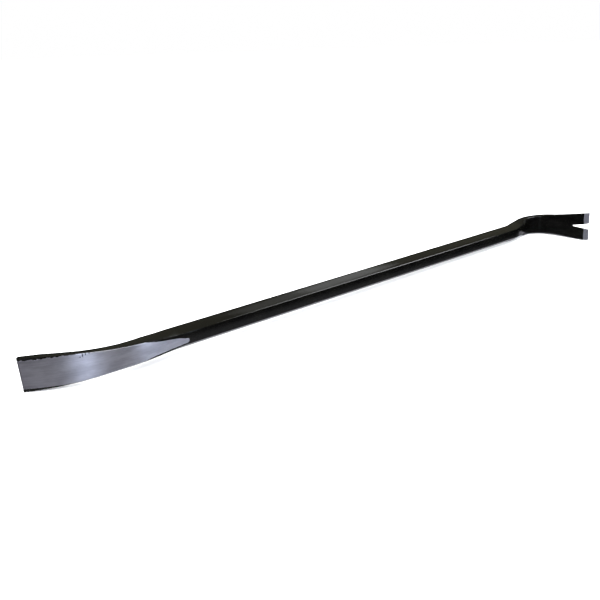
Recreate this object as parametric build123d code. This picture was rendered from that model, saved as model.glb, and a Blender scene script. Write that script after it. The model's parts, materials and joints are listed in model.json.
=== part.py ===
from build123d import *
import math
import os

# A one-piece forged pry bar, 750 mm class, in hexagonal bar stock.
# One end is drawn out to a wide chisel blade that curves back, the other end kicks back a little,
# then hooks forward into a flat claw with a V slot between two tines.
#
# Design frame, in millimetres: the shaft's axis is X, with the chisel at -X and the claw at +X.
# The whole bar is symmetric about the plane Z = 0, and the claw opens towards -Y, the front.
# The finished bar is then laid on its side, where it rests on a blade corner, the lower tine and the neck,
# with its origin at the middle of its footprint, on the surface it lies on.

# Stock
HEX_FLATS = 20.0                          # 20 mm hexagonal bar, across its flats
CORNER_HALF = HEX_FLATS / math.sqrt(3)    # half of the size across corners
FLAT_HALF = CORNER_HALF / 2               # half the width of one flat
SHAFT_START = -212.0                      # the hexagon starts to change towards the chisel here
SHAFT_END = 298.0                         # and towards the claw here

# Chisel: the front face is straight, then follows one arc back to the cutting edge
FACE_STRAIGHT_END = -250.0
FACE_STAND_OUT = 1.0                      # how far the face then stands proud of the shaft's flat
FACE_RADIUS = 175.0
FACE_TURN = 37.5                          # degrees of arc
EDGE_THICKNESS = 4.4
EDGE_HALF_WIDTH = 16.1
# Sections along the chisel: degrees of the face's arc, thickness, and the half widths of the front face,
# of the widest line and of the back face
FACE_START_SECTION = (0.0, 20.9, 8.3, 11.6, 6.3)
BLADE_ROOT_SECTION = (11.0, 13.2, 10.2, 11.7, 9.8)
BLADE_SECTIONS = (
    (17.0, 10.4, 11.9, 12.3, 11.5),
    (23.0, 8.8, 13.5, 13.7, 13.2),
    (30.0, 8.8, 14.9, 15.1, 14.7),
    (FACE_TURN, EDGE_THICKNESS, EDGE_HALF_WIDTH, EDGE_HALF_WIDTH, EDGE_HALF_WIDTH),
)

# Claw: a kick back, a hook forward, and a straight claw that leans outwards
KICK_X = 308.5
KICK_ANGLE = 16.5                         # degrees
NECK_LENGTH = 34.5                        # from the kick's corner to the start of the hook
HOOK_RADIUS = 33.4                        # to the middle of the thickness
CLAW_LEAN = 9.0                           # degrees from square to the shaft
CLAW_LENGTH = 52.0                        # from the end of the hook to the tips
HEEL_THICKNESS = 10.4                     # where the hook ends and the flat claw starts
HEEL_HALF_WIDTH = 14.0
CLAW_THICKNESS = 6.0                      # at the tips
CLAW_HALF_WIDTH = 19.8
# Sections of the kicked neck: distance past the kick's corner, then thickness and half widths as above
NECK_SECTIONS = (
    (3.0, 20.0, 6.0, 12.5, 6.0),
    (12.0, 19.9, 6.6, 13.3, 6.6),
)
NECK_END_SECTION = (NECK_LENGTH, 18.3, 7.0, 12.3, 6.8)
# Sections of the hook: share of its turn, then thickness and half widths
HOOK_SECTIONS = (
    (0.18, 15.4, 10.2, 12.3, 9.4),
    (0.42, 13.6, 12.0, 12.7, 11.6),
    (0.7, 11.9, 12.9, 13.3, 12.7),
)
HOOK_END_SECTION = (1.0, HEEL_THICKNESS, HEEL_HALF_WIDTH - 0.3, HEEL_HALF_WIDTH, HEEL_HALF_WIDTH - 0.4)
TIP_SECTION = (CLAW_LENGTH, CLAW_THICKNESS, CLAW_HALF_WIDTH - 0.1, CLAW_HALF_WIDTH, CLAW_HALF_WIDTH - 0.2)

# Nail slot and the ground tips of the tines
SLOT_DEPTH = 23.0
SLOT_MOUTH_HALF = 4.2
SLOT_ROOT_RADIUS = 1.2
WEB_BEYOND_ROOT = 1.0                     # the web ends this far past the middle of the slot's round root
TIP_BEVEL_LENGTH = 5.2
TIP_EDGE = 1.5

# How the bar lies at rest
REST_ROLL = -4.948                        # degrees about the shaft
REST_PITCH = 0.363                        # degrees about Y

CUT_REACH = 40.0                          # cutting shapes reach this far past what they cut
BEVEL_CLEARANCE = 0.2                     # the bevel's wedge starts this far above the claw's inner face
HOOK_TURN = 90 - CLAW_LEAN + KICK_ANGLE


class Station:
    """A six-sided section: the middle of its front face, the bar's heading there, and its sizes."""

    def __init__(self, x, forward, heading, depth, front, side, back):
        self.x = x
        self.forward = forward
        self.heading = math.radians(heading)
        self.depth = depth
        self.front = front        # half width of the front face
        self.side = side          # half width at the widest line, at mid depth
        self.back = back          # half width of the back face

    def corner(self, inward, width):
        x = self.x + inward * math.sin(self.heading)
        forward = self.forward - inward * math.cos(self.heading)
        return Vector(x, -forward, width)

    def outline(self):
        upper = [
            self.corner(0, self.front),
            self.corner(self.depth / 2, self.side),
            self.corner(self.depth, self.back),
        ]
        lower = [Vector(point.X, point.Y, -point.Z) for point in reversed(upper)]
        return Wire.make_polygon(upper + lower, close=True)


def forging(*stations):
    return Solid.make_loft([station.outline() for station in stations])


def hexagon(x):
    return Station(x, HEX_FLATS / 2, 0, HEX_FLATS, FLAT_HALF, CORNER_HALF, FLAT_HALF)


def chisel_station(turned, depth, front, side, back):
    """A section of the chisel after so many degrees of its face's arc."""
    angle = math.radians(turned)
    x = FACE_STRAIGHT_END - FACE_RADIUS * math.sin(angle)
    forward = HEX_FLATS / 2 + FACE_STAND_OUT - FACE_RADIUS * (1 - math.cos(angle))
    return Station(x, forward, turned, depth, front, side, back)


def on_neck(distance):
    """A point on the neck's middle line, so far past the kick's corner, as x, forward and heading."""
    kick = math.radians(KICK_ANGLE)
    return KICK_X + distance * math.cos(kick), -distance * math.sin(kick), -KICK_ANGLE


def on_hook(turned):
    """A point on the hook's middle line after so many degrees of its turn."""
    x, forward, first = on_neck(NECK_LENGTH)
    start = math.radians(first)
    heading = math.radians(first + turned)
    x += HOOK_RADIUS * (math.sin(heading) - math.sin(start))
    forward += HOOK_RADIUS * (math.cos(start) - math.cos(heading))
    return x, forward, first + turned


def on_claw(distance):
    """A point on the straight claw's middle line, so far past the hook."""
    x, forward, heading = on_hook(HOOK_TURN)
    angle = math.radians(heading)
    return x + distance * math.cos(angle), forward + distance * math.sin(angle), heading


def middle_station(place, depth, front, side, back):
    """A section whose middle, not its front face, is on the given point."""
    x, forward, heading = place
    angle = math.radians(heading)
    x_front = x - depth / 2 * math.sin(angle)
    forward_front = forward + depth / 2 * math.cos(angle)
    return Station(x_front, forward_front, heading, depth, front, side, back)


def neck_station(distance, *sizes):
    return middle_station(on_neck(distance), *sizes)


def hook_station(share, *sizes):
    return middle_station(on_hook(HOOK_TURN * share), *sizes)


def claw_station(distance, *sizes):
    return middle_station(on_claw(distance), *sizes)


def make_chisel():
    blade_root = chisel_station(*BLADE_ROOT_SECTION)
    shank = forging(hexagon(SHAFT_START), chisel_station(*FACE_START_SECTION), blade_root)
    blade = forging(blade_root, *[chisel_station(*section) for section in BLADE_SECTIONS])
    return shank, blade


def claw_plane():
    """Local X runs along the claw, local Y across it and local Z out of its inner face."""
    x, forward, heading = on_claw(0)
    angle = math.radians(heading)
    return Plane(
        origin=(x, -forward, 0),
        x_dir=(math.cos(angle), -math.sin(angle), 0),
        z_dir=(-math.sin(angle), -math.cos(angle), 0),
    )


def make_slot():
    """The V slot as a solid, longer than the claw's tips and through both faces."""
    root = CLAW_LENGTH - SLOT_DEPTH + SLOT_ROOT_RADIUS
    slope = (SLOT_MOUTH_HALF - SLOT_ROOT_RADIUS) / (CLAW_LENGTH - root)
    far = root + CUT_REACH
    far_half = SLOT_ROOT_RADIUS + CUT_REACH * slope
    vee = make_face(Polyline(
        (root, SLOT_ROOT_RADIUS),
        (far, far_half),
        (far, -far_half),
        (root, -SLOT_ROOT_RADIUS),
        close=True,
    ))
    profile = vee + Pos(root, 0) * Circle(SLOT_ROOT_RADIUS)
    return claw_plane() * extrude(profile, CUT_REACH / 2, both=True)


def make_tip_bevel():
    """The wedge that is ground off the inside of the tips."""
    start = CLAW_LENGTH - TIP_BEVEL_LENGTH
    surface = CLAW_THICKNESS / 2 + BEVEL_CLEARANCE
    drop = (surface + CLAW_THICKNESS / 2 - TIP_EDGE) / TIP_BEVEL_LENGTH
    profile = make_face(Polyline(
        (start, surface),
        (start + CUT_REACH, surface - drop * CUT_REACH),
        (start + CUT_REACH, surface + CUT_REACH),
        (start, surface + CUT_REACH),
        close=True,
    ))
    upright = claw_plane() * Plane.XZ
    return upright * extrude(profile, CUT_REACH, both=True)


def make_claw():
    neck_end = neck_station(*NECK_END_SECTION)
    neck = forging(hexagon(SHAFT_END), *[neck_station(*section) for section in NECK_SECTIONS], neck_end)
    hook_end = hook_station(*HOOK_END_SECTION)
    heel = forging(neck_end, *[hook_station(*section) for section in HOOK_SECTIONS], hook_end)
    plate = forging(hook_end, claw_station(*TIP_SECTION)) - make_slot() - make_tip_bevel()
    web_end = CLAW_LENGTH - SLOT_DEPTH + SLOT_ROOT_RADIUS + WEB_BEYOND_ROOT
    beyond_web = claw_plane() * Pos(web_end + CUT_REACH, 0, 0) * Box(2 * CUT_REACH, 2 * CUT_REACH, CUT_REACH)
    web = plate - beyond_web
    upper_tine, lower_tine = (plate & beyond_web).solids().sort_by(Axis.Z, reverse=True)
    return neck, heel, web.solid(), upper_tine, lower_tine


def laid_down(solids):
    """All solids, turned onto the side and moved together so that the footprint's middle is the origin."""
    turned = [Rot(Y=REST_PITCH) * Rot(X=REST_ROLL) * solid for solid in solids]
    box = Compound(turned).bounding_box()
    middle = box.center()
    return [Pos(-middle.X, -middle.Y, -box.min.Z) * solid for solid in turned]


NODES = (
    "shaft",
    "chisel_shank",
    "chisel_blade",
    "claw_neck",
    "claw_heel",
    "claw_web",
    "claw_tine_upper",
    "claw_tine_lower",
)

os.makedirs("parts", exist_ok=True)
shaft = forging(hexagon(SHAFT_START), hexagon(SHAFT_END))
for name, solid in zip(NODES, laid_down([shaft, *make_chisel(), *make_claw()])):
    export_step(solid, f"parts/{name}.step")
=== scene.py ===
import json
import math

import bmesh
import bpy
import numpy as np
from mathutils import Matrix, Vector


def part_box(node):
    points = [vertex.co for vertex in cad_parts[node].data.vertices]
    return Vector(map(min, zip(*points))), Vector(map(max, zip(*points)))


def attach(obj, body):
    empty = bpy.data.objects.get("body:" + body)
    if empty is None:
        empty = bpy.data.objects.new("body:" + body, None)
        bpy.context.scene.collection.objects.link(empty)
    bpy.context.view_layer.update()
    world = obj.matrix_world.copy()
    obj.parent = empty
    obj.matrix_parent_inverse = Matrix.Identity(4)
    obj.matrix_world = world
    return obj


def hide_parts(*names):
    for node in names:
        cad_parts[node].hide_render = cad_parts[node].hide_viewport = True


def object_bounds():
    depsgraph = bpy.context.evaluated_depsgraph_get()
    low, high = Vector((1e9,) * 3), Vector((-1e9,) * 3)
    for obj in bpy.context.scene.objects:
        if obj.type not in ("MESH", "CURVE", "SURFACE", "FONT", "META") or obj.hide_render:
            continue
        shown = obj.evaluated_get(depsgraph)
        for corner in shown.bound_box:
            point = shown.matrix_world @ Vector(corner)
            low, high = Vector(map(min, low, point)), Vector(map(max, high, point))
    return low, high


# The looks of a one-piece forged pry bar: hexagonal shaft in gloss black enamel, a chisel blade with a
# ground front face at one end, and a hooked claw with a V slot and ground tips at the other.
# The sizes repeat the CAD model's, in millimetres, with a few more sections and with rounded corners. The
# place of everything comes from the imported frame.

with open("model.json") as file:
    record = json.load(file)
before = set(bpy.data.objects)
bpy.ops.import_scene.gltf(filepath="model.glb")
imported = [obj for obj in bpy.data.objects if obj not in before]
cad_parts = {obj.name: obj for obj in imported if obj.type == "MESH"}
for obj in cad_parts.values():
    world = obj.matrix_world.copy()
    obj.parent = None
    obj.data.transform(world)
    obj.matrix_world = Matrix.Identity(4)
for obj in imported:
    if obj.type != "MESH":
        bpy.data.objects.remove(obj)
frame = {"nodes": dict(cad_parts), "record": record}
cad_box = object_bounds()
record = frame["record"]

MM = 0.001

# ---------------------------------------------------------------- driving sizes, mm and degrees
HEX_FLATS = 20.0
CORNER_HALF = HEX_FLATS / math.sqrt(3)
FLAT_HALF = CORNER_HALF / 2
SHAFT_START, SHAFT_END = -212.0, 298.0
FACE_STRAIGHT_END, FACE_STAND_OUT = -250.0, 1.0
FACE_RADIUS, FACE_TURN = 175.0, 37.5
EDGE_THICKNESS, EDGE_HALF_WIDTH = 4.4, 16.1
KICK_X, KICK_ANGLE, NECK_LENGTH = 308.5, 16.5, 34.5
HOOK_RADIUS, CLAW_LEAN, CLAW_LENGTH = 33.4, 9.0, 52.0
HEEL_THICKNESS, HEEL_HALF_WIDTH = 10.4, 14.0
CLAW_THICKNESS, CLAW_HALF_WIDTH = 6.0, 19.8
SLOT_DEPTH, SLOT_MOUTH_HALF, SLOT_ROOT_RADIUS, WEB_BEYOND_ROOT = 23.0, 4.2, 1.2, 1.0
TIP_BEVEL_LENGTH, TIP_EDGE = 5.2, 1.5

# "run" is the distance along the bar: it is the shaft's X on the shaft, and goes on round both bends.
HOOK_TURN = 90 - CLAW_LEAN + KICK_ANGLE
KICK_TANGENT = 5.0                        # the kick is a short arc, this long on each side of its corner
KICK_START = KICK_X - KICK_TANGENT
KICK_RADIUS = KICK_TANGENT / math.tan(math.radians(KICK_ANGLE / 2))
KICK_END = KICK_X + KICK_TANGENT
NECK_END = KICK_X + NECK_LENGTH
HOOK_END = NECK_END + HOOK_RADIUS * math.radians(HOOK_TURN)
CLAW_END = HOOK_END + CLAW_LENGTH
CHISEL_END = FACE_STRAIGHT_END - FACE_RADIUS * math.radians(FACE_TURN)
SLOT_START = CLAW_END - SLOT_DEPTH
WEB_END = SLOT_START + SLOT_ROOT_RADIUS + WEB_BEYOND_ROOT
BEVEL_START = CLAW_END - TIP_BEVEL_LENGTH
BLADE_ROOT_TURN = 11.0


def chisel_run(turned):
    return FACE_STRAIGHT_END - FACE_RADIUS * math.radians(turned)


def hook_run(share):
    return NECK_END + HOOK_RADIUS * math.radians(HOOK_TURN) * share


BLADE_ROOT = chisel_run(BLADE_ROOT_TURN)

# Sections: run, thickness, half widths of the front face, of the widest line and of the back face,
# then the corner radii in the same order.
SECTIONS = np.array([
    (CHISEL_END, EDGE_THICKNESS, EDGE_HALF_WIDTH, EDGE_HALF_WIDTH, EDGE_HALF_WIDTH, 0.45, 0.5, 0.8),
    (chisel_run(30.0), 8.8, 14.9, 15.1, 14.7, 0.5, 2.0, 1.4),
    (chisel_run(23.0), 8.8, 13.5, 13.7, 13.2, 0.6, 3.0, 1.6),
    (chisel_run(17.0), 10.4, 11.9, 12.3, 11.5, 0.6, 3.0, 1.8),
    (BLADE_ROOT, 13.2, 10.2, 11.7, 9.8, 0.6, 2.6, 1.8),
    (FACE_STRAIGHT_END, 20.9, 8.3, 11.6, 6.3, 0.6, 1.4, 1.6),
    (SHAFT_START, HEX_FLATS, FLAT_HALF, CORNER_HALF, FLAT_HALF, 1.1, 1.0, 1.2),
    (SHAFT_END - 8.0, HEX_FLATS, FLAT_HALF, CORNER_HALF, FLAT_HALF, 1.1, 1.0, 1.2),
    (KICK_X + 3.0, 20.0, 6.0, 12.5, 6.0, 1.1, 1.2, 1.2),
    (KICK_X + 12.0, 19.9, 6.6, 13.3, 6.6, 1.2, 1.6, 1.4),
    (NECK_END - 6.0, 18.8, 7.0, 13.2, 6.8, 1.4, 2.0, 1.8),
    (NECK_END - 1.5, 18.2, 7.2, 12.9, 7.0, 1.1, 1.8, 1.9),
    (NECK_END + 1.8, 17.4, 11.3, 12.6, 7.4, 0.8, 1.2, 2.0),
    (hook_run(0.18), 15.4, 11.8, 12.4, 9.4, 1.2, 2.0, 2.2),
    (hook_run(0.42), 13.6, 12.3, 12.7, 11.6, 1.3, 2.6, 2.4),
    (hook_run(0.7), 11.9, 12.9, 13.3, 12.7, 1.3, 3.0, 2.2),
    (HOOK_END, HEEL_THICKNESS, 13.7, HEEL_HALF_WIDTH, 13.6, 1.1, 2.4, 1.8),
    (CLAW_END, CLAW_THICKNESS, 19.65, CLAW_HALF_WIDTH - 0.05, 19.55, 0.7, 1.0, 1.0),
])
SECTION_RUNS, SECTION_SIZES = SECTIONS[:, 0], SECTIONS[:, 1:].T
CROWN = 0.16                              # how far the flats bulge between their corners
CROWN_FROM, CROWN_FULL = 9.0, 17.0        # thickness of the bar where the bulge starts and is full
LONGEST_ROUND = 0.45                      # a rounding takes at most this share of the edges beside it
END_ROUND = 0.5                           # rounding of the chisel's edge and of the tips
SLOT_ROUND = 0.5

# The ground face starts with a rounded end near the shaft, whose middle is a little below the flat's
# middle line. Then its two edges go outwards: distance past the start, and distance from that line.
GROUND_START = SHAFT_START - 0.4
START_LENGTH, START_RADIUS, START_WIDTH = 2.6, 2.5, -1.7
UPPER_EDGE = np.array([
    (0.0, 0.0), (START_LENGTH, 0.3), (9.0, 2.2), (19.0, 4.0), (29.0, 5.5), (39.0, 7.7), (60.0, 13.0),
])
LOWER_EDGE = np.array([
    (0.0, 3.8), (START_LENGTH, 4.0), (10.0, 4.5), (21.0, 5.2), (31.0, 6.1), (39.0, 7.0), (60.0, 13.0),
])
# The enamel laps over the face's edges a little, and most of all on the upper edge near the blade's end.
# Where the lap is below 0, the bare steel goes round the edge instead.
LAP_START, LAP_FULL = BLADE_ROOT - 18.0, BLADE_ROOT - 43.0
LAP_AT_ROOT, LAP_AT_END, LAP_BELOW = -0.5, 0.9, 0.35
# How deep the bare steel goes, below the ground face, below the tips' bevels and at the tips' ends
FACE_DEPTH, BEVEL_DEPTH, TIP_DEPTH = 0.5, 0.4, 0.3
TIP_SHARPNESS = 4.0                       # how fast the margin grows at the tips' ends
FAR_INSIDE = 9.0                          # a margin where its boundary is nowhere near
GROUND_BLEND = 0.5                        # the unevenness fades out over this margin
# The steel colour is darker close to the cutting edge: fully within 1.5 mm of it, fading out by 1.9 mm.
EDGE_DARK_FROM, EDGE_DARK_FULL = 1.9, 1.5         # the darker line along the cutting edge, from the edge

# Nicks in the ground face: run, width, length along the bar, length across it
NICKS = (
    (-310.2, 11.0, 0.6, 2.6), (-307.6, 11.6, 0.5, 1.6), (-312.6, 9.6, 1.5, 0.5), (-304.5, 11.9, 0.6, 0.9),
)

# Slow unevenness, little on the rolled shaft and more on the forged ends: seed, waves, wavelength, height
ROLLED_WAVES = (3, 10, 55.0, 0.014)
FORGED_WAVES = ((4, 12, 22.0, 0.035), (5, 14, 8.0, 0.012))
FORGED_FROM, FORGED_OVER = 10.0, 30.0     # it grows over this length, from this far inside the shaft's ends

# Steps of the surface grid
EDGE_STEPS = {"front": 7, "front_side": 9, "side_back": 9, "back": 7}
CORNER_STEPS = 6
WALL_STEPS = 6
ROOT_STEPS = 10
WELD = 0.002                              # points nearer than this are one point
SLIVER = 0.001                            # faces thinner than this are taken out

# The pieces along the bar, each with the run where it ends, and then the two tines side by side
ZONE_ENDS = {
    "chisel_blade": BLADE_ROOT,
    "chisel_shank": SHAFT_START,
    "shaft": SHAFT_END,
    "claw_neck": NECK_END,
    "claw_heel": HOOK_END,
    "claw_web": WEB_END,
}
TINES = ("claw_tine_upper", "claw_tine_lower")


def smoothstep(value):
    value = np.clip(value, 0.0, 1.0)
    return value * value * (3 - 2 * value)


def monotone_curve(x, y, at):
    """A smooth curve through the points that never swings past them (Fritsch and Carlson)."""
    step = np.diff(x)
    slope = np.diff(y) / step
    tangent = np.zeros(len(x))
    for i in range(1, len(x) - 1):
        if slope[i - 1] * slope[i] > 0:
            a = 2 * step[i] + step[i - 1]
            b = step[i] + 2 * step[i - 1]
            tangent[i] = (a + b) / (a / slope[i - 1] + b / slope[i])
    tangent[0], tangent[-1] = slope[0], slope[-1]
    i = np.clip(np.searchsorted(x, at) - 1, 0, len(step) - 1)
    t = (at - x[i]) / step[i]
    return (
        y[i] * (1 + 2 * t) * (1 - t) ** 2
        + y[i + 1] * t * t * (3 - 2 * t)
        + step[i] * (tangent[i] * t * (1 - t) ** 2 + tangent[i + 1] * t * t * (t - 1))
    )


# ---------------------------------------------------------------- the bar's place in the row frame
def shaft_axes():
    """The shaft's two axis ends and its directions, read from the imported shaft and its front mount."""
    corners = np.array([vertex.co for vertex in frame["nodes"]["shaft"].data.vertices], float)
    middle = (corners[:, 0].min() + corners[:, 0].max()) / 2
    start = corners[corners[:, 0] < middle].mean(0)
    end = corners[corners[:, 0] > middle].mean(0)
    along = (end - start) / np.linalg.norm(end - start)
    mounts = {mount["name"]: mount for mount in record["mounts"]}
    forward = np.array(mounts["shaft_front_flat"]["axis"], float)
    forward -= along * (forward @ along)
    forward /= np.linalg.norm(forward)
    return start, along, forward, np.cross(forward, along)


AXIS_START, ALONG, FORWARD, WIDTHWAYS = shaft_axes()


def to_row(x, forward, width):
    """Points given along the shaft, forward and across, in mm, as row frame points in metres."""
    x, forward, width = np.broadcast_arrays(x, forward, width)
    return AXIS_START + MM * (
        (x - SHAFT_START)[..., None] * ALONG + forward[..., None] * FORWARD + width[..., None] * WIDTHWAYS
    )


def on_path(run, depth):
    """The middle of the front face at each run, as x, forward and heading."""
    run = np.asarray(run, float)
    x = run.copy()
    middle = np.zeros_like(run)
    heading = np.zeros_like(run)

    kick = (run > KICK_START) & (run <= KICK_END)
    turned = np.radians(KICK_ANGLE) * (run[kick] - KICK_START) / (KICK_END - KICK_START)
    x[kick] = KICK_START + KICK_RADIUS * np.sin(turned)
    middle[kick] = -KICK_RADIUS * (1 - np.cos(turned))
    heading[kick] = -turned

    lean = math.radians(KICK_ANGLE)
    neck = (run > KICK_END) & (run <= NECK_END)
    x[neck] = KICK_X + (run[neck] - KICK_X) * math.cos(lean)
    middle[neck] = -(run[neck] - KICK_X) * math.sin(lean)
    heading[neck] = -lean

    hook = run > NECK_END
    turned = np.minimum(run[hook] - NECK_END, HOOK_END - NECK_END) / HOOK_RADIUS - lean
    straight = np.maximum(run[hook] - HOOK_END, 0)
    x[hook] = KICK_X + NECK_LENGTH * math.cos(lean) + HOOK_RADIUS * (np.sin(turned) + math.sin(lean))
    x[hook] += straight * np.cos(turned)
    middle[hook] = -NECK_LENGTH * math.sin(lean) + HOOK_RADIUS * (math.cos(lean) - np.cos(turned))
    middle[hook] += straight * np.sin(turned)
    heading[hook] = turned

    front_x = x - depth / 2 * np.sin(heading)
    front = middle + depth / 2 * np.cos(heading)

    chisel = run < SHAFT_START
    front[chisel] = HEX_FLATS / 2 + FACE_STAND_OUT * smoothstep(
        (SHAFT_START - run[chisel]) / (SHAFT_START - FACE_STRAIGHT_END)
    )
    blade = run < FACE_STRAIGHT_END
    turned = (FACE_STRAIGHT_END - run[blade]) / FACE_RADIUS
    front_x[blade] = FACE_STRAIGHT_END - FACE_RADIUS * np.sin(turned)
    front[blade] = HEX_FLATS / 2 + FACE_STAND_OUT - FACE_RADIUS * (1 - np.cos(turned))
    heading[blade] = turned
    return front_x, front, heading


def slot_half(run):
    """Half the slot's width at each run: a round root, then a widening V."""
    past = run - SLOT_START
    root = SLOT_ROOT_RADIUS
    circle = np.sqrt(np.clip(root * root - (past - root) ** 2, 0, None))
    slope = (SLOT_MOUTH_HALF - root) / (SLOT_DEPTH - root)
    vee = root + slope * (past - root)
    return np.where(past <= 0, 0.0, np.where(past < root, circle, vee))


# ---------------------------------------------------------------- rings round the bar
def rounded(before, corner, after, radius, steps):
    """Points on the rounding of a corner, for every ring at once. Arrays are rings by 2."""
    first = corner - before
    second = after - corner
    length = np.minimum(np.linalg.norm(first, axis=1), np.linalg.norm(second, axis=1))
    first /= np.linalg.norm(first, axis=1, keepdims=True)
    second /= np.linalg.norm(second, axis=1, keepdims=True)
    turn = np.arccos(np.clip((first * second).sum(1), -1, 1))
    tangent = np.minimum(radius * np.tan(turn / 2), LONGEST_ROUND * length)
    radius = tangent / np.maximum(np.tan(turn / 2), 1e-6)
    inward = np.stack([first[:, 1], -first[:, 0]], 1)
    start = corner - first * tangent[:, None]
    points = []
    for k in range(steps + 1):
        angle = turn * k / steps
        points.append(
            start
            + first * (radius * np.sin(angle))[:, None]
            + inward * (radius * (1 - np.cos(angle)))[:, None]
        )
    return points


def between(start, end, steps, crown, half=False):
    """Points between two roundings, bulging by crown. A half edge starts where the bulge is highest."""
    run = end - start
    length = np.linalg.norm(run, axis=1, keepdims=True)
    outward = np.stack([-run[:, 1], run[:, 0]], 1) / np.maximum(length, 1e-9)
    points = []
    for k in range(1, steps):
        t = k / steps
        bulge = {False: 4 * t * (1 - t), "start": 1 - t * t, "end": 1 - (1 - t) ** 2}[half]
        points.append(start + run * t + outward * crown * bulge)
    return points


def upper_rings(run):
    """The upper half of the section at each run, from the middle of the front face round to the middle
    of the back face, then down the slot's wall. Returns (inward, width) as rings by points by 2."""
    size = [monotone_curve(SECTION_RUNS, values, run) for values in SECTION_SIZES]
    depth, front, side, back, front_round, side_round, back_round = size
    drop = (CLAW_THICKNESS - TIP_EDGE) / TIP_BEVEL_LENGTH
    bevel = np.maximum(run - BEVEL_START, 0) * drop
    slot = slot_half(run)
    # Rounding of both ends: the section shrinks over the last fraction of a millimetre.
    from_end = np.minimum(run - CHISEL_END, CLAW_END - run)
    short = np.clip(END_ROUND - from_end, 0, END_ROUND)
    inset = END_ROUND - np.sqrt(END_ROUND**2 - short**2)
    top = bevel + inset
    bottom = depth - inset
    half_depth = (top + bottom) / 2
    slot = np.where(run > SLOT_START, slot + np.where(run > WEB_END, inset, 0), 0)

    def point(inward, width):
        return np.stack([inward, width], 1)

    start = point(top, slot)
    corners = [point(top, front - inset), point(half_depth, side - inset), point(bottom, back - inset)]
    end = point(bottom, slot)
    rounds = (front_round, side_round, back_round)
    chain = [start, *corners, end]
    arcs = [
        rounded(chain[i], chain[i + 1], chain[i + 2], rounds[i], CORNER_STEPS)
        for i in range(3)
    ]
    crown = (CROWN * smoothstep((depth - CROWN_FROM) / (CROWN_FULL - CROWN_FROM)))[:, None]
    slot_round = np.minimum(SLOT_ROUND, slot)
    across = point(np.zeros_like(slot), slot_round)
    first = start + across
    last = end + across
    if_open = (run > SLOT_START)[:, None]
    crown_at_start = np.stack([-np.ones_like(slot), np.zeros_like(slot)], 1) * crown * ~if_open
    points = [first + crown_at_start]
    points += between(first, arcs[0][0], EDGE_STEPS["front"], crown, "start")
    points += arcs[0]
    points += between(arcs[0][-1], arcs[1][0], EDGE_STEPS["front_side"], crown)
    points += arcs[1]
    points += between(arcs[1][-1], arcs[2][0], EDGE_STEPS["side_back"], crown)
    points += arcs[2]
    points += between(arcs[2][-1], last, EDGE_STEPS["back"], crown, "end")
    points += [last - crown_at_start]
    # The wall: a rounded edge at the back, straight down, and a rounded edge at the front.
    for k in range(1, CORNER_STEPS + 1):
        angle = math.pi / 2 * k / CORNER_STEPS
        shift = point(-slot_round * (1 - math.cos(angle)), slot_round * (1 - math.sin(angle)))
        points.append(end + shift)
    back_foot = end - point(slot_round, 0 * slot)
    front_foot = start + point(slot_round, 0 * slot)
    for k in range(1, WALL_STEPS):
        points.append(back_foot + (front_foot - back_foot) * k / WALL_STEPS)
    for k in range(CORNER_STEPS):
        angle = math.pi / 2 * k / CORNER_STEPS
        shift = point(slot_round * (1 - math.sin(angle)), slot_round * (1 - math.cos(angle)))
        points.append(start + shift)
    return np.stack(points, 1)


# The points of a ring from the middle of the front face to the middle of the back face
OUTLINE_POINTS = 2 + sum(steps - 1 for steps in EDGE_STEPS.values()) + 3 * (CORNER_STEPS + 1)


def spaced(start, marks):
    """Runs after start, in even steps as far as each mark. A mark is a run and the step on the way to it."""
    positions = []
    for end, step in marks:
        count = max(1, round((end - start) / step))
        positions += [start + (end - start) * k / count for k in range(1, count + 1)]
        start = end
    return positions


def run_positions():
    """Where the rings are: closer together where the bar bends, ends or splits."""
    positions = [CHISEL_END]
    positions += spaced(CHISEL_END, [
        (CHISEL_END + END_ROUND, 0.1), (BLADE_ROOT, 1.2), (SHAFT_START - 12, 1.3), (SHAFT_START, 0.6),
        (SHAFT_END, 2.5), (NECK_END, 0.9), (HOOK_END, 0.7), (SLOT_START - 0.6, 0.9), (SLOT_START, 0.2),
    ])
    positions += [
        SLOT_START + SLOT_ROOT_RADIUS * (1 - math.cos(math.pi / 2 * k / ROOT_STEPS))
        for k in range(1, ROOT_STEPS + 1)
    ]
    positions += spaced(positions[-1], [
        (WEB_END, 0.25), (BEVEL_START - 0.15, 0.8), (BEVEL_START, 0.15),
        (CLAW_END - END_ROUND, 0.5), (CLAW_END, 0.1),
    ])
    return np.array(positions)


# ---------------------------------------------------------------- slow unevenness of the forging
def waves(points, seed, count, wavelength, height):
    """A smooth random field: a few plane waves in random directions, of about this height."""
    random = np.random.default_rng(seed)
    total = np.zeros(len(points))
    for _ in range(count):
        direction = random.normal(size=3)
        direction /= np.linalg.norm(direction) * wavelength * random.uniform(0.7, 1.6)
        total += np.sin(2 * math.pi * (points @ direction + random.uniform()))
    return height * (total / math.sqrt(count / 2))


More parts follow.
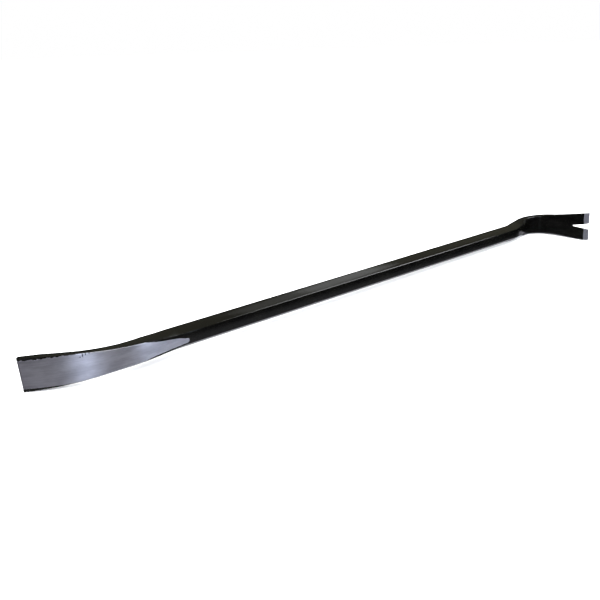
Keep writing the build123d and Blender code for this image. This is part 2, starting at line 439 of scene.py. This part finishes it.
# ---------------------------------------------------------------- the whole surface, then its pieces
def build_surface():
    """The vertices' places in the row frame, the same vertices as (run, inward, width) in mm, the outer
    faces with their pieces' names, and the faces that close each piece with theirs."""
    run = run_positions()
    rings = upper_rings(run)
    count, points = rings.shape[:2]
    depth = monotone_curve(SECTION_RUNS, SECTION_SIZES[0], run)
    x, front, heading = on_path(run, depth)

    def local(sign):
        inward = rings[:, :, 0]
        width = rings[:, :, 1] * sign
        place = to_row(
            x[:, None] + inward * np.sin(heading)[:, None],
            front[:, None] - inward * np.cos(heading)[:, None],
            width,
        )
        return place, np.stack([np.broadcast_to(run[:, None], inward.shape), inward, width], 2)

    upper, upper_local = local(1)
    lower, lower_local = local(-1)
    places = np.concatenate([upper.reshape(-1, 3), lower.reshape(-1, 3)])
    locals_ = np.concatenate([upper_local.reshape(-1, 3), lower_local.reshape(-1, 3)])
    offset = count * points

    faces, owners = [], []
    caps, cap_owners = [], []

    def piece_at(middle, side):
        return next((name for name, end in ZONE_ENDS.items() if middle < end), TINES[side])

    for ring in range(count - 1):
        middle = (run[ring] + run[ring + 1]) / 2
        open_slot = middle > SLOT_START
        last = points if open_slot else OUTLINE_POINTS - 1
        for side in (0, 1):
            owner = piece_at(middle, side)
            base = ring * points + side * offset
            for k in range(last):
                following = (k + 1) % points
                quad = (base + k, base + following, base + points + following, base + points + k)
                faces.append(quad[::-1] if side == 0 else quad)
                owners.append(owner)

    def ring_cap(ring, owner, outward):
        """A cap across the whole section, as a strip between the upper and the lower half."""
        for k in range(OUTLINE_POINTS - 1):
            a = ring * points + k
            quad = (a, a + 1, a + 1 + offset, a + offset)
            caps.append(quad[::-1] if outward < 0 else quad)
            cap_owners.append(owner)

    def leg_cap(ring, side, owner, outward):
        """A cap across one side of the slot, as one outline."""
        outline = [ring * points + side * offset + k for k in range(points)]
        flip = (outward > 0) != (side == 0)
        caps.append(tuple(outline[::-1]) if flip else tuple(outline))
        cap_owners.append(owner)

    def ring_at(position):
        return int(np.argmin(abs(run - position)))

    zones = list(ZONE_ENDS)
    ring_cap(0, zones[0], -1)
    for first, second in zip(zones, zones[1:]):
        ring_cap(ring_at(ZONE_ENDS[first]), first, 1)
        ring_cap(ring_at(ZONE_ENDS[first]), second, -1)
    for side, tine in enumerate(TINES):
        leg_cap(ring_at(WEB_END), side, "claw_web", 1)
        leg_cap(ring_at(WEB_END), side, tine, -1)
        leg_cap(count - 1, side, tine, 1)
    return places, locals_, faces, owners, caps, cap_owners


def smooth_normals(places, faces):
    """Area-weighted vertex normals of the outer surface, with coincident vertices sharing theirs."""
    key = np.round(places / (WELD * MM)).astype(np.int64)
    _, group = np.unique(key, axis=0, return_inverse=True)
    group = group.reshape(-1)
    total = np.zeros((group.max() + 1, 3))
    quads = np.array(faces)
    a, b, c, d = (places[quads[:, k]] for k in range(4))
    normal = np.cross(c - a, d - b)
    for k in range(4):
        np.add.at(total, group[quads[:, k]], normal)
    length = np.linalg.norm(total, axis=1, keepdims=True)
    return (total / np.maximum(length, 1e-30))[group]


def ground_margins(run, inward, width):
    """Three distances in mm inside the bare, ground areas: from the chisel face's upper edge, from its
    lower edge and from every other boundary. A place is bare steel where all three are above 0."""
    past = GROUND_START - run
    half = monotone_curve(SECTION_RUNS, SECTION_SIZES[1], run)
    lapped = smoothstep((LAP_START - run) / (LAP_START - LAP_FULL))
    lap_above = LAP_AT_ROOT + (LAP_AT_END - LAP_AT_ROOT) * lapped
    upper_edge, lower_edge = (
        monotone_curve(*edge.T, np.clip(past, 0, edge[-1, 0])) for edge in (UPPER_EDGE, LOWER_EDGE)
    )
    above = np.minimum(upper_edge, half - lap_above) - width
    below = width + np.minimum(lower_edge, half - LAP_BELOW)
    rounded_start = START_RADIUS - np.hypot(past - START_LENGTH, width - START_WIDTH)
    face = np.where(past < START_LENGTH, rounded_start, FAR_INSIDE)
    face = np.minimum(face, FACE_DEPTH - inward)
    # The tips: the bevel on the inside of each tine, and its end. The slot's walls stay enamelled.
    bevel_surface = (run - BEVEL_START) * (CLAW_THICKNESS - TIP_EDGE) / TIP_BEVEL_LENGTH
    bevel = np.minimum(run - BEVEL_START, BEVEL_DEPTH + bevel_surface - inward)
    tips = np.maximum(bevel, (run - CLAW_END + TIP_DEPTH) * TIP_SHARPNESS)
    at_chisel = run < 0
    return np.stack([
        np.where(at_chisel, above, FAR_INSIDE),
        np.where(at_chisel, below, FAR_INSIDE),
        np.where(at_chisel, face, tips),
    ], 1)


def shape_pieces():
    places, local, faces, owners, caps, cap_owners = build_surface()
    normals = smooth_normals(places, faces)
    run, inward, width = local.T
    ground = ground_margins(run, inward, width)
    # The forging is a little uneven, except where it was ground flat.
    past_shaft = np.maximum(SHAFT_START - run, run - SHAFT_END)
    forged = smoothstep((past_shaft + FORGED_FROM) / FORGED_OVER)
    unground = smoothstep(GROUND_BLEND - ground.min(1))
    points_mm = places / MM
    wave = waves(points_mm, *ROLLED_WAVES) + forged * sum(waves(points_mm, *kind) for kind in FORGED_WAVES)
    places = places + normals * (wave * unground * MM)[:, None]
    normals = smooth_normals(places, faces)

    edge = corner_distance(local)
    made = {}
    for name in dict.fromkeys(owners):
        own = [face for face, owner in zip(faces, owners) if owner == name]
        own_caps = [face for face, owner in zip(caps, cap_owners) if owner == name]
        made[name] = make_piece(name, places, normals, own, own_caps, {
            "place": np.stack([run, width, inward], 1),
            "ground": ground,
            "edge": edge,
        })
    return made


def corner_distance(local):
    """Distance in mm from the nearest lengthwise corner of the section."""
    run, inward, width = local.T
    depth, front, side, back = (monotone_curve(SECTION_RUNS, values, run) for values in SECTION_SIZES[:4])
    half = abs(width)
    return np.minimum.reduce([
        np.hypot(inward, half - front),
        np.hypot(inward - depth / 2, half - side),
        np.hypot(inward - depth, half - back),
    ])


def make_piece(name, places, normals, faces, caps, fields):
    """One closed piece. Its outer faces take the whole bar's normals, so no seam shows between pieces."""
    used = sorted({index for face in faces + caps for index in face})
    index_of = {index: i for i, index in enumerate(used)}
    mesh = bpy.data.meshes.new(name)
    mesh.from_pydata(
        places[used].tolist(), [], [[index_of[i] for i in face] for face in faces + caps]
    )
    for key, values in fields.items():
        kind = "FLOAT_VECTOR" if values.ndim == 2 else "FLOAT"
        attribute = mesh.attributes.new(key, kind, "POINT")
        slot = "vector" if values.ndim == 2 else "value"
        attribute.data.foreach_set(slot, values[used].astype(np.float32).ravel())
    outer = mesh.attributes.new("outer_normal", "FLOAT_VECTOR", "POINT")
    outer.data.foreach_set("vector", normals[used].astype(np.float32).ravel())
    is_cap = mesh.attributes.new("cap", "BOOLEAN", "FACE")
    is_cap.data.foreach_set("value", [False] * len(faces) + [True] * len(caps))

    shape = bmesh.new()
    shape.from_mesh(mesh)
    bmesh.ops.remove_doubles(shape, verts=shape.verts, dist=WELD * MM)
    bmesh.ops.dissolve_degenerate(shape, edges=shape.edges, dist=SLIVER * MM)
    big = [face for face in shape.faces if len(face.verts) > 4]
    bmesh.ops.triangulate(shape, faces=big)
    bmesh.ops.recalc_face_normals(shape, faces=shape.faces)
    shape.to_mesh(mesh)
    shape.free()

    mesh.polygons.foreach_set("use_smooth", [True] * len(mesh.polygons))
    outer = mesh.attributes["outer_normal"].data
    is_cap = mesh.attributes["cap"].data
    split = [
        polygon.normal[:] if is_cap[polygon.index].value else outer[vertex].vector[:]
        for polygon in mesh.polygons
        for vertex in polygon.vertices
    ]
    mesh.normals_split_custom_set(split)
    mesh.attributes.remove(mesh.attributes["outer_normal"])
    mesh.attributes.remove(mesh.attributes["cap"])
    made = bpy.data.objects.new(name + "_finished", mesh)
    bpy.context.scene.collection.objects.link(made)
    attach(made, "root")
    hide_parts(name)
    return made


# ---------------------------------------------------------------- material nodes
class NodeTree:
    """Short calls for building a shader: a value given to a socket is a number, a colour or an output."""

    def __init__(self, owner):
        owner.use_nodes = True
        self.tree = owner.node_tree
        self.tree.nodes.clear()

    def add(self, kind, inputs=(), **settings):
        node = self.tree.nodes.new(kind)
        for key, value in settings.items():
            setattr(node, key, value)
        for key, value in dict(inputs).items():
            self.put(node.inputs[key], value)
        return node

    def put(self, socket, value):
        if isinstance(value, bpy.types.NodeSocket):
            self.tree.links.new(value, socket)
        else:
            socket.default_value = value

    def attribute(self, name, output="Fac"):
        return self.add("ShaderNodeAttribute", attribute_name=name).outputs[output]

    def math(self, operation, first, second=0.0, third=0.0):
        node = self.add("ShaderNodeMath", operation=operation)
        for socket, value in zip(node.inputs, (first, second, third)):
            self.put(socket, value)
        return node.outputs[0]

    def scaled(self, vector, scale):
        node = self.add("ShaderNodeVectorMath", {0: vector, 1: scale}, operation="MULTIPLY")
        return node.outputs[0]

    def noise(self, vector, scale, detail=2.0, roughness=0.5):
        inputs = {"Vector": vector, "Scale": scale, "Detail": detail, "Roughness": roughness}
        return self.add("ShaderNodeTexNoise", inputs).outputs["Fac"]

    def ramp(self, value, low, high, to_low=0.0, to_high=1.0, kind="SMOOTHSTEP"):
        inputs = {"Value": value, "From Min": low, "From Max": high, "To Min": to_low, "To Max": to_high}
        return self.add("ShaderNodeMapRange", inputs, interpolation_type=kind).outputs[0]

    def mix(self, factor, first, second):
        node = self.add("ShaderNodeMix", data_type="RGBA")
        for socket, value in zip((node.inputs[0], node.inputs[6], node.inputs[7]), (factor, first, second)):
            self.put(socket, value)
        return node.outputs[2]

    def blend(self, factor, first, second):
        node = self.add("ShaderNodeMix", data_type="FLOAT")
        for socket, value in zip((node.inputs[0], node.inputs[2], node.inputs[3]), (factor, first, second)):
            self.put(socket, value)
        return node.outputs[0]


ENAMEL = (0.0006, 0.0006, 0.0006, 1)
ENAMEL_HAZE = (0.0013, 0.0013, 0.0010, 1)
STEEL = (0.62, 0.615, 0.685, 1)
STEEL_DARK = (0.40, 0.395, 0.45, 1)
STEEL_NICK = (0.10, 0.10, 0.11, 1)
FLOOR_DARKER, FLOOR_LIGHTER = (0.84, 0.84, 0.84, 1), (0.87, 0.87, 0.87, 1)

# What the world shows: the backdrop to the eye, the light that matt surfaces get, and the room in the gloss
BACKDROP = (1.0, 1.0, 1.0, 1)
SOFT_LIGHT = (1.8, 1.8, 1.8, 1)
HORIZON, CEILING = (0.015, 0.015, 0.017, 1), (0.275, 0.27, 0.20, 1)
FAR_FLOOR, NEAR_FLOOR, FLOOR_PATCH = (0.30, 0.30, 0.32, 1), (0.70, 0.70, 0.75, 1), (0.50, 0.50, 0.55, 1)
COOL, COOLER = (0.94, 0.97, 1.0), (0.74, 0.84, 1.0)


def finish_material():
    """Gloss black enamel over forged steel, with bare steel where the ends were ground and where the
    enamel is chipped. Textures run in the bar's own millimetres: along it, across it and through it."""
    material = bpy.data.materials.new("enamel_and_ground_steel")
    t = NodeTree(material)
    place = t.attribute("place", "Vector")
    margins = t.add("ShaderNodeSeparateXYZ", {0: t.attribute("ground", "Vector")}).outputs
    edge = t.attribute("edge")
    run, width = t.add("ShaderNodeSeparateXYZ", {0: place}).outputs[:2]

    # Where the steel is bare
    ragged = t.noise(place, 1.1, 3.0, 0.6)
    lapping = t.ramp(t.noise(t.scaled(place, (0.22, 0.22, 0.22)), 1.0, 3.0, 0.6), 0.3, 0.7, -0.5, 0.5)
    lapped = t.ramp(run, LAP_START, LAP_FULL)
    from_above = t.math("ADD", margins[0], t.math("MULTIPLY", lapping, lapped))
    ground = t.math("MINIMUM", t.math("MINIMUM", from_above, margins[1]), margins[2])
    line = t.math("ADD", ground, t.ramp(ragged, 0.3, 0.7, -0.1, 0.1))
    bare_ground = t.ramp(line, -0.10, 0.10)
    chip_noise = t.noise(t.scaled(place, (0.35, 0.9, 0.9)), 0.55, 4.0, 0.62)
    near_edge = t.ramp(edge, 1.3, 0.3)
    chips = t.ramp(t.math("ADD", chip_noise, t.math("MULTIPLY", near_edge, 0.115)), 0.792, 0.806)
    bare = t.math("MAXIMUM", bare_ground, chips)

    # Enamel
    cloud = t.noise(place, 0.035, 4.0, 0.6)
    haze = t.noise(t.scaled(place, (0.25, 1, 1)), 0.8, 5.0, 0.65)
    enamel_colour = t.mix(t.ramp(cloud, 0.35, 0.7), ENAMEL, ENAMEL_HAZE)
    enamel_rough = t.math("ADD", t.ramp(haze, 0.3, 0.7, 0.07, 0.12), t.ramp(cloud, 0.3, 0.7, -0.015, 0.03))

    # Ground steel: long fine lines along the bar, cloudy tone
    fine_lines = t.noise(t.scaled(place, (0.035, 3.2, 3.2)), 1.0, 3.0, 0.6)
    broad_lines = t.noise(t.scaled(place, (0.012, 0.9, 0.9)), 1.0, 2.0, 0.5)
    tone = t.noise(t.scaled(place, (0.05, 0.12, 0.12)), 1.0, 3.0, 0.55)
    streak = t.math("ADD", t.math("MULTIPLY", fine_lines, 0.45), t.math("MULTIPLY", broad_lines, 0.55))
    from_streak = t.ramp(streak, 0.34, 0.66, 0.0, 0.45, "LINEAR")
    from_tone = t.ramp(tone, 0.35, 0.65, 0.0, 0.55)
    # The steel colour darkens along the cutting edge, and is darker all over the tips.
    edge_dark = t.ramp(run, CHISEL_END + EDGE_DARK_FROM, CHISEL_END + EDGE_DARK_FULL)
    at_tips = t.ramp(run, 0.0, 1.0, kind="LINEAR")
    steel_darkening = t.math("MAXIMUM", t.math("MULTIPLY", edge_dark, 0.95), t.math("MULTIPLY", at_tips, 0.55))
    steel_light = t.math("MULTIPLY", t.math("ADD", from_streak, from_tone), t.math("SUBTRACT", 1.0, steel_darkening))
    nick_edge = t.ramp(ragged, 0.3, 0.7, -0.3, 0.3)
    nicks = 0.0
    for nick_run, nick_width, along, across in NICKS:
        from_run = t.math("DIVIDE", t.math("SUBTRACT", run, nick_run), along)
        from_width = t.math("DIVIDE", t.math("SUBTRACT", width, nick_width), across)
        squares = [t.math("MULTIPLY", distance, distance) for distance in (from_run, from_width)]
        reach = t.math("ADD", t.math("SQRT", t.math("ADD", *squares)), nick_edge)
        nicks = t.math("MAXIMUM", nicks, t.ramp(reach, 1.0, 0.5))
    steel_colour = t.mix(nicks, t.mix(steel_light, STEEL_DARK, STEEL), STEEL_NICK)
    steel_rough = t.ramp(streak, 0.35, 0.65, 0.38, 0.28)

    colour = t.mix(bare, enamel_colour, steel_colour)
    rough = t.blend(bare, enamel_rough, steel_rough)

    # Relief, as heights in millimetres: the enamel stands a little above the steel
    orange_peel = t.math("MULTIPLY", t.noise(place, 0.45, 2.0, 0.5), 0.010)
    forge_skin = t.math("MULTIPLY", t.noise(place, 0.16, 3.0, 0.55), 0.035)
    enamel_height = t.math("ADD", orange_peel, forge_skin)
    steel_height = t.math("SUBTRACT", t.math("MULTIPLY", streak, 0.009), t.math("MULTIPLY", nicks, 0.08))
    height = t.blend(bare, t.math("ADD", enamel_height, 0.05), steel_height)
    bump = t.add("ShaderNodeBump", {"Strength": 1.0, "Distance": MM, "Height": height})

    # The grinding lines run along the bar, so the steel's gloss spreads across it.
    widthways = t.add("ShaderNodeCombineXYZ", dict(enumerate(WIDTHWAYS))).outputs[0]
    shader = t.add("ShaderNodeBsdfPrincipled", {
        "Base Color": colour,
        "Metallic": bare,
        "Roughness": rough,
        "Normal": bump.outputs[0],
        "Anisotropic": 0.85,
        "Tangent": widthways,
    })
    output = t.add("ShaderNodeOutputMaterial")
    t.tree.links.new(shader.outputs[0], output.inputs[0])
    return material


def floor_material():
    material = bpy.data.materials.new("pale_floor")
    t = NodeTree(material)
    tone = t.noise(t.add("ShaderNodeNewGeometry").outputs["Position"], 3.0, 3.0)
    shader = t.add("ShaderNodeBsdfPrincipled", {
        "Base Color": t.mix(tone, FLOOR_DARKER, FLOOR_LIGHTER),
        "Roughness": 0.9,
        "Specular IOR Level": 0.1,
    })
    output = t.add("ShaderNodeOutputMaterial")
    t.tree.links.new(shader.outputs[0], output.inputs[0])
    return material


# ---------------------------------------------------------------- the studio
low, high = cad_box
LENGTH = high.x - low.x
FLOOR_RADIUS, FLOOR_SECTORS = 30.0, 64
FILL_WAY, FILL_SPREAD, FILL_STRENGTH = (-125, 68), 110.0, 4.4
PATCH_WAY = (12, -20)
# The camera: degrees, then its aim as a share of the length and a height, its distance in lengths, its lens
EYE_AZIMUTH, EYE_ELEVATION, EYE_TILT = -37.20, 22.41, -1.83
AIM_ALONG, AIM_HEIGHT = 0.3577, 0.0255
EYE_DISTANCE, LENS, SENSOR = 0.855, 37.2, 36.0


def direction(azimuth, elevation):
    """A unit vector: azimuth counter-clockwise from +X, elevation above the floor, in degrees."""
    a, e = math.radians(azimuth), math.radians(elevation)
    return Vector((math.cos(a) * math.cos(e), math.sin(a) * math.cos(e), math.sin(e)))


def make_floor():
    """A round pale floor under the bar. Reflections see the world's floor instead."""
    shape = bmesh.new()
    bmesh.ops.create_circle(shape, cap_ends=True, radius=FLOOR_RADIUS, segments=FLOOR_SECTORS)
    mesh = bpy.data.meshes.new("floor")
    shape.to_mesh(mesh)
    shape.free()
    floor = bpy.data.objects.new("floor", mesh)
    bpy.context.scene.collection.objects.link(floor)
    floor.location = (0, 0, low.z)
    mesh.materials.append(floor_material())
    floor.visible_glossy = False


def make_world():
    """A pale backdrop to the eye. In reflections: a dim room, darkest at the horizon, with a lit floor
    that has one brighter patch beyond the claw."""
    world = bpy.data.worlds.new("studio")
    bpy.context.scene.world = world
    t = NodeTree(world)
    way = t.add("ShaderNodeTexCoord").outputs["Generated"]
    height = t.add("ShaderNodeSeparateXYZ", {0: way}).outputs[2]
    above = t.ramp(height, 0.15, 0.60)
    below = t.ramp(height, -0.21, -0.30)
    under = t.ramp(height, -0.35, -0.80)
    sky = t.mix(above, HORIZON, CEILING)
    lit = t.mix(under, FAR_FLOOR, NEAR_FLOOR)
    nearness = t.add(
        "ShaderNodeVectorMath", {0: way, 1: direction(*PATCH_WAY)}, operation="DOT_PRODUCT"
    ).outputs["Value"]
    patch = t.ramp(nearness, 0.945, 0.985)
    room = t.mix(patch, t.mix(below, sky, lit), FLOOR_PATCH)
    path = t.add("ShaderNodeLightPath").outputs
    soft = t.mix(path["Is Glossy Ray"], SOFT_LIGHT, room)
    seen = t.mix(path["Is Camera Ray"], soft, BACKDROP)
    background = t.add("ShaderNodeBackground", {"Color": seen, "Strength": 1.0})
    output = t.add("ShaderNodeOutputWorld")
    t.tree.links.new(background.outputs[0], output.inputs[0])


def softbox(name, target, azimuth, elevation, width, height, radiance, colour=(1, 1, 1), distance=2.4):
    """An area light that its target sees in that direction, so large in metres and so bright."""
    data = bpy.data.lights.new(name, "AREA")
    data.shape = "RECTANGLE"
    data.size, data.size_y = width, height
    data.energy = radiance * math.pi * width * height
    data.color = colour
    light = bpy.data.objects.new(name, data)
    bpy.context.scene.collection.objects.link(light)
    way = direction(azimuth, elevation)
    light.location = target + way * distance
    light.rotation_mode = "QUATERNION"
    light.rotation_quaternion = way.to_track_quat("Z", "Y")
    light.visible_camera = False


def overhead_fill():
    """Wide light from above that evens out the floor, and that no gloss reflects."""
    data = bpy.data.lights.new("overhead_fill", "SUN")
    data.angle = math.radians(FILL_SPREAD)
    data.energy = FILL_STRENGTH
    light = bpy.data.objects.new("overhead_fill", data)
    bpy.context.scene.collection.objects.link(light)
    light.rotation_mode = "QUATERNION"
    light.rotation_quaternion = direction(*FILL_WAY).to_track_quat("Z", "Y")
    light.visible_glossy = False


def middle_of(node):
    """The middle of a CAD node's box."""
    lowest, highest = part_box(node)
    return (lowest + highest) / 2


def make_lights():
    overhead_fill()
    shaft, blade, neck = (middle_of(node) for node in ("shaft", "chisel_blade", "claw_neck"))
    softbox("shaft_highlight", shaft, 16.8, 50.0, 0.42, 0.44, 0.95, COOL)
    softbox("shaft_glow", shaft, 17.0, 55.0, 0.6, 0.75, 0.45, COOL, 2.5)
    softbox("shaft_edge", shaft, -38, 34, 0.5, 2.0, 14.0, COOL)
    softbox("blade_left", blade, -113, 20, 0.50, 1.6, 6.0, COOLER)
    softbox("blade_front", blade, -69, 20, 0.50, 1.6, 4.5, COOLER)
    softbox("blade_fill", blade, -105, 28, 3.6, 1.0, 0.55, COOL, 2.6)
    softbox("blade_rim", blade, -88, 58, 1.3, 0.7, 2.5, COOL)
    softbox("rear_left", shaft, 140, 35, 1.0, 0.6, 1.4)
    softbox("rear_right", neck, 60, 30, 0.9, 0.6, 1.0)


def make_camera():
    """The eye is in front and to the left of the chisel's end, above the bar, and a little tilted."""
    aim = Vector((low.x + AIM_ALONG * LENGTH, 0.0, low.z + AIM_HEIGHT))
    a, e = math.radians(EYE_AZIMUTH), math.radians(EYE_ELEVATION)
    back = Vector((math.sin(a) * math.cos(e), -math.cos(a) * math.cos(e), math.sin(e)))
    data = bpy.data.cameras.new("camera")
    data.sensor_width = SENSOR
    data.lens = LENS
    data.clip_start = 0.02
    camera = bpy.data.objects.new("camera", data)
    bpy.context.scene.collection.objects.link(camera)
    camera.location = aim + back * EYE_DISTANCE * LENGTH
    level = (-back).to_track_quat("-Z", "Y")
    camera.rotation_mode = "QUATERNION"
    tilt = Matrix.Rotation(math.radians(EYE_TILT), 3, back).to_quaternion()
    camera.rotation_quaternion = tilt @ level
    bpy.context.scene.camera = camera


make_camera()
make_world()
make_lights()
make_floor()
finish = finish_material()
for node, piece in shape_pieces().items():
    piece.data.materials.append(finish)
bpy.context.scene.view_settings.view_transform = "Standard"
